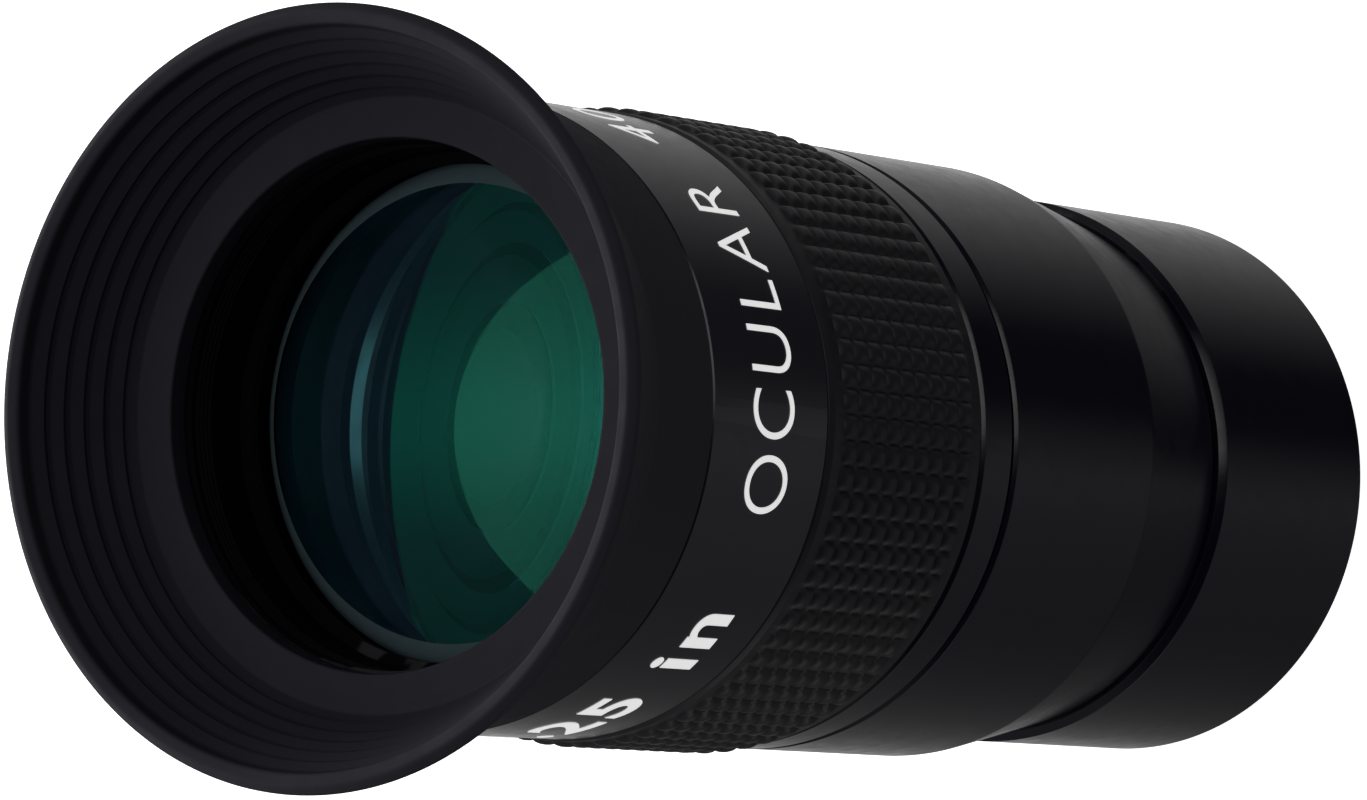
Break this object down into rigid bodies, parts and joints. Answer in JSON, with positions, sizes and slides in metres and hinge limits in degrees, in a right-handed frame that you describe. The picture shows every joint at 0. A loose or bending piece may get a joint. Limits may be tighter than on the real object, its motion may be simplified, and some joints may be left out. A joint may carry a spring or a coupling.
{
  "type": "telescope eyepiece",
  "caption": "Black telescope eyepiece with a push-in barrel, tapered body, knurled rubber grip ring and a flared fold-down rubber eyecup round a coated eye lens.",
  "frame": {"origin": "centre of the barrel's open end face, on which the eyepiece stands", "axes": "+Z along the optical axis, from the barrel towards the eye; the shape is round about Z, and +X is one side of it"},
  "size_m": [0.041, 0.041, 0.082],
  "materials": {
    "barrel_metal": "satin black anodised",
    "body_metal": "satin black anodised",
    "housing_metal": "glossy black anodised",
    "inner_metal": "matt black anodised",
    "grip_rubber": "fine square knurl",
    "eyecup_rubber": "soft matt",
    "coated_glass": "green anti-reflection coating",
    "clear_glass": "polished"
  },
  "bodies": {
    "barrel": {"barrel": "barrel_metal"},
    "body": {"lower_body": "body_metal", "field_stop_ring": "inner_metal"},
    "head": {"upper_housing": "housing_metal", "grip_ring": "grip_rubber", "eyecup_base": "eyecup_rubber", "eyecup_skirt": "eyecup_rubber", "eye_lens_flint": "coated_glass", "eye_lens_crown": "clear_glass", "lens_spacer": "inner_metal", "field_lens_crown": "clear_glass", "field_lens_flint": "coated_glass", "lens_retaining_ring": "inner_metal"},
    "eyecup_edge": {"eyecup_rim": "eyecup_rubber"}
  },
  "joints": [
    {"name": "barrel_turn", "type": "hinge", "parent": "barrel", "child": "body", "pos_m": [0, 0, 0.013], "axis": [0, 0, 1], "range_deg": [0, 2880]},
    {"name": "housing_turn", "type": "hinge", "parent": "body", "child": "head", "pos_m": [0, 0, 0.0437], "axis": [0, 0, 1], "range_deg": [0, 3240]},
    {"name": "eyecup_fold", "type": "slide", "parent": "head", "child": "eyecup_edge", "axis": [0, 0, -1], "range_m": [0, 0.012], "deforming": ["eyecup_skirt"]}
  ]
}
